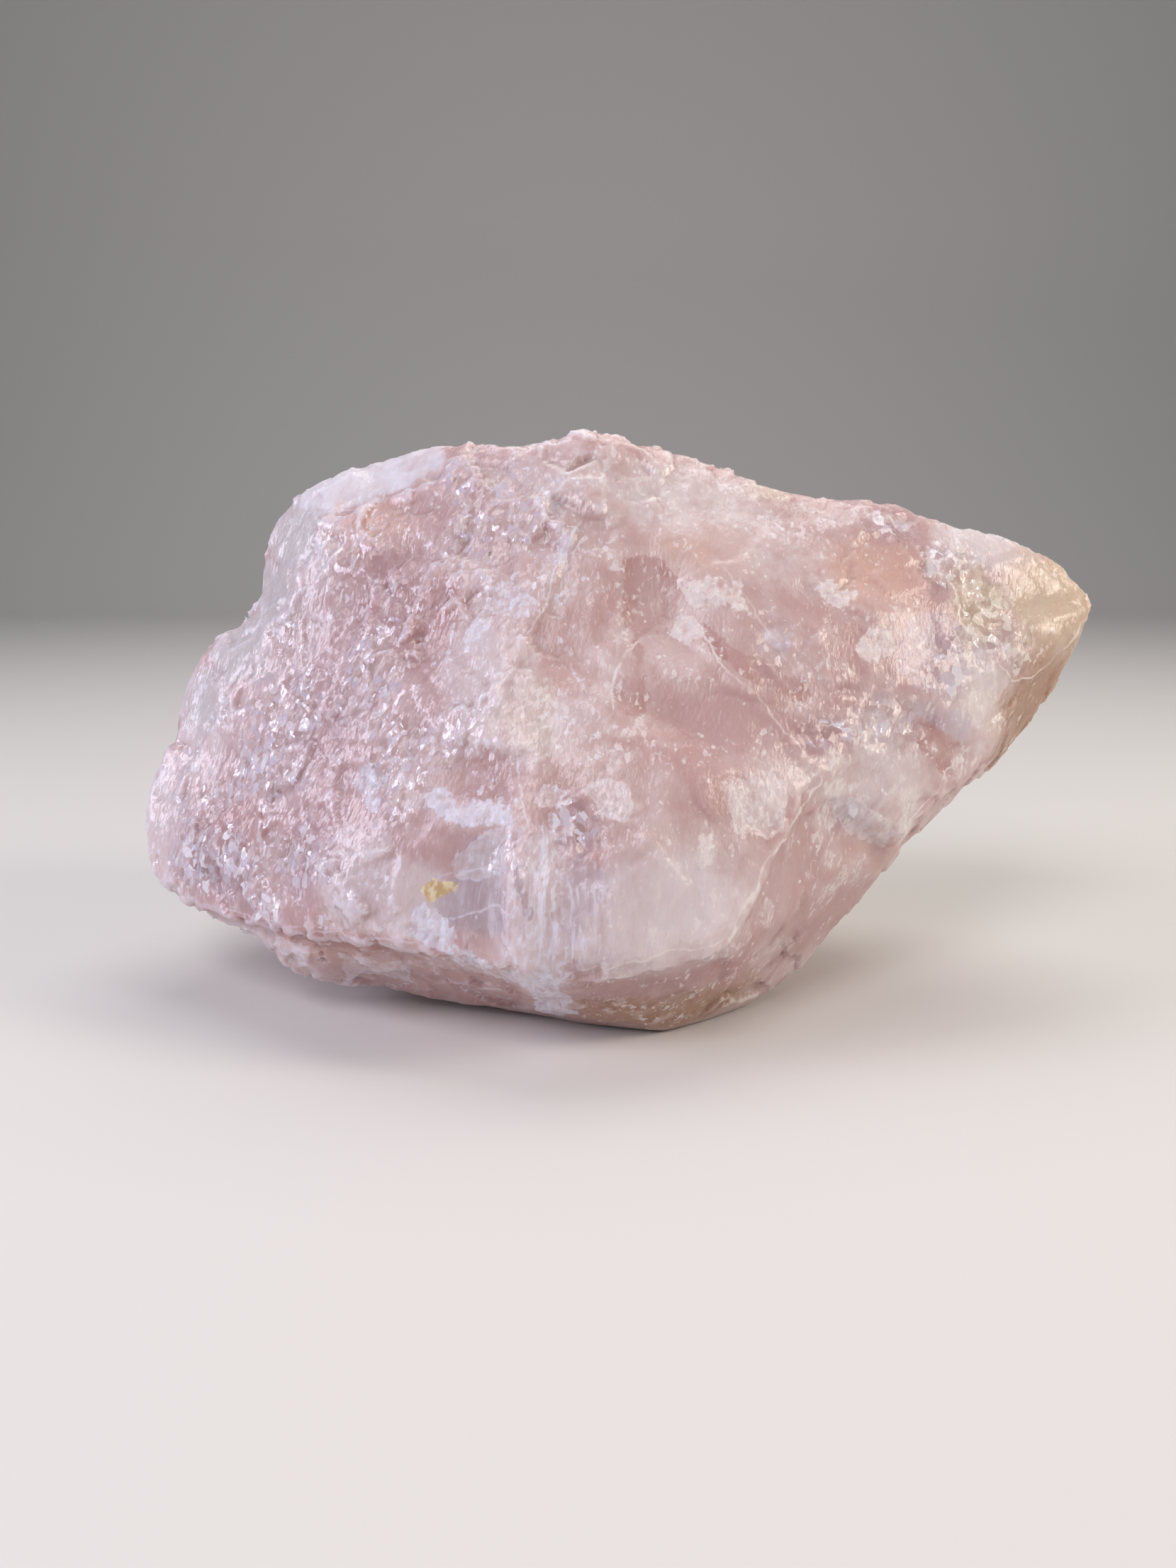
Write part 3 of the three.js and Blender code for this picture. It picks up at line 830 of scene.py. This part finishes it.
class Look:
    """What the stone is coloured with: random patterns, and the marks stored on its points."""

    def __init__(self, start):
        place = start.node("ShaderNodeTexCoord", None, None, "Object")
        self.place = place
        self.slender = grain_way(place)
        self.veils = noise(ragged(place, 9.0 * MM, 7.0 * MM), 12.0 * MM, 3.0)
        self.cloud = swing(ragged(place, 4.0 * MM, 3.0 * MM), 4.5 * MM, 4.0)
        self.grit = swing(self.slender, 0.9 * MM, 2.0)
        self.streak = swing(self.slender * (1.0, 1.0, 0.45), 0.55 * MM, 2.0)
        self.shift = self.cloud * 0.9 + self.grit * 0.35
        self.bunched = (self.cloud * 0.6 + self.veils * 3.0).ramp(1.2, 1.9)
        self.large = flakes(place, ragged(place, 1.5 * MM, 1.2 * MM), 1.5 * MM, 0.5)
        broken_up = ragged(self.slender, 1.3 * MM, 0.9 * MM)
        self.small = flakes(self.slender, broken_up, 0.68 * MM, 0.55)
        along = start.node("ShaderNodeSeparateXYZ", None, {"Vector": place}, "X")
        self.rightward = along.ramp(-9.0 * MM, 3.0 * MM)
        self.front = along.beside("Y").ramp(14.0 * MM, 9.0 * MM)
        self.mark = {}
        for name in (*PATCHES, *PANES, "crack_side", "crack_near", "proud", "ridge"):
            settings = {"attribute_name": name}
            self.mark[name] = start.node("ShaderNodeAttribute", settings, None, "Fac")

    def torn(self, kind, raggedness):
        """The mask of a patch with its edge broken up by the grain, and gaps inside it."""
        mask = self.mark[kind]
        broken = (self.grit * 0.35 + self.cloud * 0.65) * (raggedness * 0.8)
        return (mask + broken * (mask * 2.0).smaller(1.0)).ramp(0.2, 0.9)

    def plate(self, kind, edge=0.25):
        """The mask of a plate with clean, slightly ragged edges."""
        return (self.mark[kind] + self.shift).ramp(0.0, edge) * self.front


def laid_on(colour, layers):
    """The colour with each layer laid over it in turn, as far as the mask of that layer lets it."""
    for name, mask in layers.items():
        colour = mask.mix(colour, COLOURS[name])
    return colour


def ground_colour(look):
    """The common pink, then the patches and the plates that differ from it."""
    mark, cloud, grit = look.mark, look.cloud, look.grit
    pale = (look.veils + cloud * 0.07).ramp(0.36, 0.64)
    colour = pale.mix(COLOURS["pink"], COLOURS["pale pink"])
    for kind, (raggedness, strength) in TINTED.items():
        colour = (look.torn(kind, raggedness) * strength).mix(colour, COLOURS[kind])
    deep = (mark["deep"] + cloud * 1.8 + grit * 0.4).ramp(0.0, 0.7) * look.front
    # Painted shade: each deep plate is darkest at its edge, as in a shell-shaped hollow, and paler inside.
    painted_edge_shade = mark["deep"].ramp(0.3, 3.5, 1.0, 0.6) * (cloud * 0.6 + 0.7)
    grainy = (mark["sugar"] * 0.42 + mark["sparkle"] * 0.45) * (1.0 - mark["cream"])
    return laid_on(colour, {
        "pane": look.plate("pane") * (grit * 0.4 + 0.4),
        "veiled": look.plate("veiled", 0.4) * mark["milk"] * (cloud * 0.3 + look.streak * 0.2 + 0.65),
        "frosted": look.plate("frosted", 1.2) * (cloud * 0.3 + grit * 0.15 + 0.7),
        "lilac": look.plate("lilac", 0.5) * (look.streak * 0.5 + 0.45),
        "rosy": look.plate("rosy") * 0.5,
        "deep": deep * painted_edge_shade,
        "grain": grainy,
    })


def grained(look, colour):
    """Adds fine streaks along the grain, the ribs, the painted shade down the slit, and short curved cracks
    all over.
    """
    mark, cloud, streak = look.mark, look.cloud, look.streak
    gathered = mark["sugar"] * look.bunched
    unclear = 1.0 - mark["clear"] * 0.8
    ribs = swing(ragged(look.place, 5.0 * MM, 1.6 * MM) * (1.0, 0.6, 0.1), 0.8 * MM, 2.0)
    hooked = hooks(ragged(look.slender, 1.3 * MM, 1.0 * MM), 1.0 * MM, 0.085)
    hooked = hooked * (cloud * 0.6 + streak * 0.6 + look.grit * 0.3).ramp(0.1, 0.6)
    return laid_on(colour, {
        "pale streak": streak.ramp(0.1, 1.0) * (gathered * 0.36 + 0.14) * unclear,
        "dark streak": (-streak).ramp(0.2, 1.1) * (gathered * 0.34 + 0.08) * unclear,
        "pale rib": ribs.ramp(0.05, 0.5) * mark["combed"] * 0.7,
        "dark rib": (-ribs).ramp(0.1, 0.6) * mark["combed"] * 0.4,
        "painted_slit_shade": look.plate("painted_slit_shade") * (cloud * 0.4 + 0.65),
        "hook": hooked * (1.0 - mark["clear"] * 0.7) * 0.65,
    })


def glint_masks(look):
    """Where the large flakes get painted glints, and where flakes of either size do."""
    mark = look.mark
    large = look.large.bright * (mark["sparkle"] * 1.5 - 0.35 + look.cloud * 0.4).ramp(0.2, 0.5)
    small = look.small.bright * (mark["sparkle"] * 0.5 + mark["sugar"] * 0.7 + 0.06)
    glitter = large * (look.large.tint * 0.8 + mark["cream"] * 0.2 + 0.3)
    return large, glitter.larger(small * look.bunched)


def glinting(look, colour, large, glitter):
    """Adds painted glints on the flakes that catch the light."""
    glint = look.small.tint.ramp(0.3, 0.9).mix(COLOURS["painted lilac glint"], COLOURS["painted pink glint"])
    glint = laid_on(glint, {
        "painted bright glint": large * look.large.tint,
        "painted cream glint": look.mark["cream"],
    })
    return (glitter * 0.85).mix(colour, glint)


def crushed_masks(look):
    """Where it is crushed to powder, and where it is white from that or from a bruise."""
    bruise, cloud, grit = look.mark["bruise"], look.cloud, look.grit
    powder = (look.mark["crushed"] + look.shift * 1.6).ramp(0.0, 0.5) * look.front
    powder = powder * (grit * 1.1 + cloud * 0.4 + 0.75).ramp(0.0, 0.9, 0.3, 1.0)
    bits = (bruise * 1.3 + look.streak * 0.7 + grit * 0.6 + cloud * 0.4).ramp(0.85, 1.5)
    haze = (bruise + cloud * 0.35).ramp(0.2, 1.1) * 0.45
    return powder, powder.larger((bits * 0.7 + haze) * bruise.ramp(0.0, 0.3))


def crack_lines(look):
    """Fine white lines: the cracks, and the rims of the panes, painted as lit edges."""
    side = look.mark["crack_side"] + look.cloud * 0.35 + look.grit * 0.12
    lit_rim = look.mark["pane"] + look.shift
    lines = abs(side).ramp(0.26, 0.08) * look.mark["crack_near"]
    # Painted highlight along the rims of the panes.
    lines = lines.larger(abs(lit_rim).ramp(0.25, 0.08) * 0.55) * look.front
    return lines * (look.cloud * 0.8 + look.grit * 0.5 + 0.65).ramp(0.0, 0.8)


def worn_and_glowing_edges(look):
    """Edges rubbed white, and painted lighter as a glow where light comes through thin edges: all that
    stand proud a little, and the ridges of sound stone more.
    """
    mark, cloud = look.mark, look.cloud
    proud = (mark["proud"] + cloud * 0.12).ramp(0.07, 0.35)
    proud = proud * (0.48 - mark["sugar"] * 0.3 - mark["sound"] * 0.3)
    ridge = (mark["ridge"] + cloud * 0.25 + look.grit * 0.1).ramp(0.25, 0.75)
    return proud.larger(ridge * mark["sound"] * 0.8)


def whitened(look, colour, powder, white):
    """Adds what is white because it scatters light, and painted glow on the edges; the whites are painted
    cooler at the left and warmer at the right, as the window and the lamp tint them, and creamy at the
    point.
    """
    bruise, cloud = look.mark["bruise"], look.cloud
    dotted = look.large.dots * (cloud * 0.8 + 0.5).ramp(0.0, 0.6)
    scattered = (cloud * 0.7 + look.grit * 0.4 + bruise * 0.5 + 0.1).ramp(0.15, 0.4)
    flecks = look.small.tint.ramp(0.85, 0.89) * scattered
    amount = (white * 0.88).larger(worn_and_glowing_edges(look)).larger(crack_lines(look) * 0.85)
    amount = amount.larger(dotted * 0.75).larger(flecks * 0.65)
    # Painted light colour: whites tinted cool at the left, as under the window, and warm at the right, as
    # under the lamp.
    shade = look.rightward.mix(COLOURS["white in painted cool light"], COLOURS["white in painted warm light"])
    shade = laid_on(shade, {
        "cream white": look.mark["cream"],
        "grey in powder": look.small.tint.ramp(0.7, 0.2) * powder * 0.5,
    })
    return amount.mix(colour, shade)


def shaded_and_stained(look, colour):
    """Adds painted shade in the hollows, the ochre stain that iron left, and one dark speck."""
    # Painted shade: darker where the surface lies lower than the ground round it.
    colour = ((-look.mark["proud"]).ramp(0.08, 0.5) * 0.18).mix(colour, COLOURS["hollow"])
    ochre = look.grit.ramp(-0.3, 0.4).mix(COLOURS["ochre"], COLOURS["pale ochre"])
    colour = (look.plate("stain") * 0.85).mix(colour, ochre)
    from_speck = (look.place - SPECK_AT).length()
    return (from_speck.ramp(0.5 * MM, 0.3 * MM) * 0.7).mix(colour, COLOURS["speck"])


def rose_quartz():
    """Cloudy pink quartz: light goes in and comes out again a few millimetres away."""
    material = bpy.data.materials.new("rose_quartz")
    material.use_nodes = True
    material.node_tree.nodes.clear()
    start = Signal(material.node_tree)
    look = Look(start)
    mark, cloud = look.mark, look.cloud
    large, glitter = glint_masks(look)
    powder, white = crushed_masks(look)
    colour = grained(look, ground_colour(look))
    colour = glinting(look, colour, large, glitter)
    colour = shaded_and_stained(look, whitened(look, colour, powder, white))

    sheen = look.small.height * (mark["sugar"] * (look.bunched * 1.1 + 0.15) + white * 0.8 + 0.1)
    sheen = (look.large.height * mark["sparkle"] * 1.5 + sheen) / MM
    relief = sheen + look.streak * 0.04 + cloud * 0.05 + white * look.grit * 0.15
    bump = start.node("ShaderNodeBump", None, {"Strength": 1.0, "Distance": MM, "Height": relief})
    rough = mark["sound"] * 0.05 + cloud * 0.06 + white * 0.12 + 0.36
    rough = rough - mark["clear"] * 0.22 - glitter * 0.26
    surface = start.node(
        "ShaderNodeBsdfPrincipled",
        {"subsurface_method": "RANDOM_WALK"},
        {
            "Base Color": colour,
            "Roughness": rough,
            "Normal": bump,
            "IOR": 1.54,
            "Subsurface Weight": 0.75,
            "Subsurface Radius": (1.0, 0.66, 0.62),
            "Subsurface Scale": 5.0 * MM,
            "Specular IOR Level": 0.9,
        },
    )
    start.node("ShaderNodeOutputMaterial", None, {"Surface": surface})
    return material


def finished_mesh(block):
    """What the modifiers of a block make of it, as a plain mesh."""
    evaluated = block.evaluated_get(bpy.context.evaluated_depsgraph_get())
    return bpy.data.meshes.new_from_object(evaluated)


def break_stone(solid, material):
    """A fine mesh over the plain solid, then the broken ground on it, as one finished mesh."""
    mesh = solid.data.copy()
    mesh.materials.clear()
    loose = bmesh.new()
    loose.from_mesh(mesh)
    bmesh.ops.remove_doubles(loose, verts=loose.verts, dist=0.001 * MM)
    loose.to_mesh(mesh)
    loose.free()
    block = bpy.data.objects.new("rough_block", mesh)
    scene.collection.objects.link(block)
    remesh = block.modifiers.new("fine", "REMESH")
    remesh.mode = "VOXEL"
    remesh.voxel_size = VOXEL
    remesh.use_smooth_shade = True
    block.data = finished_mesh(block)
    block.modifiers.remove(remesh)
    mark_points(block.data)

    tree = breaking_tree(material)
    breaking = block.modifiers.new("breaking", "NODES")
    breaking.node_group = tree
    sizes = {"Plate size": PLATE_SIZE, "Chip size": CHIP_SIZE, "Grain size": GRAIN_SIZE}
    for item in tree.interface.items_tree:
        if item.name in sizes:
            breaking[item.identifier] = sizes[item.name]
    stone = bpy.data.objects.new("rose_quartz_chunk", finished_mesh(block))
    bpy.data.objects.remove(block)
    scene.collection.objects.link(stone)
    return stone


stone = break_stone(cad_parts["quartz_chunk"], rose_quartz())
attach(stone, "root")
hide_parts("quartz_chunk")


# ---------------------------------------------------------------------------------------------
# The stage: a plain pale sheet that lies flat under the stone and sweeps up behind it.

STAGE_HALF_WIDTH = 1.6
STAGE_FRONT, STAGE_BEND_AT, STAGE_BEND_RADIUS, STAGE_TOP = -0.9, 0.7, 0.35, 1.6
BEND_STEPS = 16
PAPER_COLOUR, PAPER_ROUGHNESS = (0.72, 0.70, 0.68, 1), 0.9

profile = [(STAGE_FRONT, 0.0)]
for step in range(BEND_STEPS + 1):
    turn = math.pi / 2 * step / BEND_STEPS
    profile.append((
        STAGE_BEND_AT + STAGE_BEND_RADIUS * math.sin(turn),
        STAGE_BEND_RADIUS * (1 - math.cos(turn)),
    ))
profile.append((STAGE_BEND_AT + STAGE_BEND_RADIUS, STAGE_TOP))
corners = [(x, y, z) for y, z in profile for x in (-STAGE_HALF_WIDTH, STAGE_HALF_WIDTH)]
strips = [(2 * i, 2 * i + 1, 2 * i + 3, 2 * i + 2) for i in range(len(profile) - 1)]
sweep = bpy.data.meshes.new("floor")
sweep.from_pydata(corners, [], strips)
sweep.shade_smooth()
floor = bpy.data.objects.new("floor", sweep)
scene.collection.objects.link(floor)
paper = bpy.data.materials.new("floor_paper")
paper.use_nodes = True
paper_look = paper.node_tree.nodes["Principled BSDF"]
paper_look.inputs["Base Color"].default_value = PAPER_COLOUR
paper_look.inputs["Roughness"].default_value = PAPER_ROUGHNESS
sweep.materials.append(paper)


# ---------------------------------------------------------------------------------------------
# The lights: soft panels that stand round the stone, as a cool window at the left, a plain one
# in front and above, a warm lamp at the right and a broad one overhead, with a dim sky all round.

# Each panel's place and size in metres, its watts and its colour.
PANELS = {
    "window_light": ((-0.58, -0.14, 0.26), (0.18, 0.26), 1.75, (0.86, 0.84, 1.0)),
    "front_light": ((-0.16, -0.44, 0.52), (0.26, 0.26), 1.6, (0.98, 0.95, 1.0)),
    "lamp_light": ((0.55, -0.14, 0.32), (0.14, 0.20), 1.75, (1.0, 0.90, 0.78)),
    "top_light": ((0.05, 0.20, 0.60), (0.50, 0.40), 1.7, (1.0, 0.98, 0.95)),
}
SKY_COLOUR, SKY_STRENGTH = (0.93, 0.95, 1.0, 1), 0.18

middle = (low + high) / 2
for name, (place, size, watts, colour) in PANELS.items():
    light = bpy.data.lights.new(name, "AREA")
    light.shape = "RECTANGLE"
    light.size, light.size_y = size
    light.energy = watts
    light.color = colour
    holder = bpy.data.objects.new(name, light)
    holder.location = place
    holder.rotation_euler = (middle - Vector(place)).to_track_quat("-Z", "Y").to_euler()
    scene.collection.objects.link(holder)

surround = bpy.data.worlds.new("surround")
surround.use_nodes = True
backdrop = surround.node_tree.nodes["Background"]
backdrop.inputs["Color"].default_value = SKY_COLOUR
backdrop.inputs["Strength"].default_value = SKY_STRENGTH
scene.world = surround
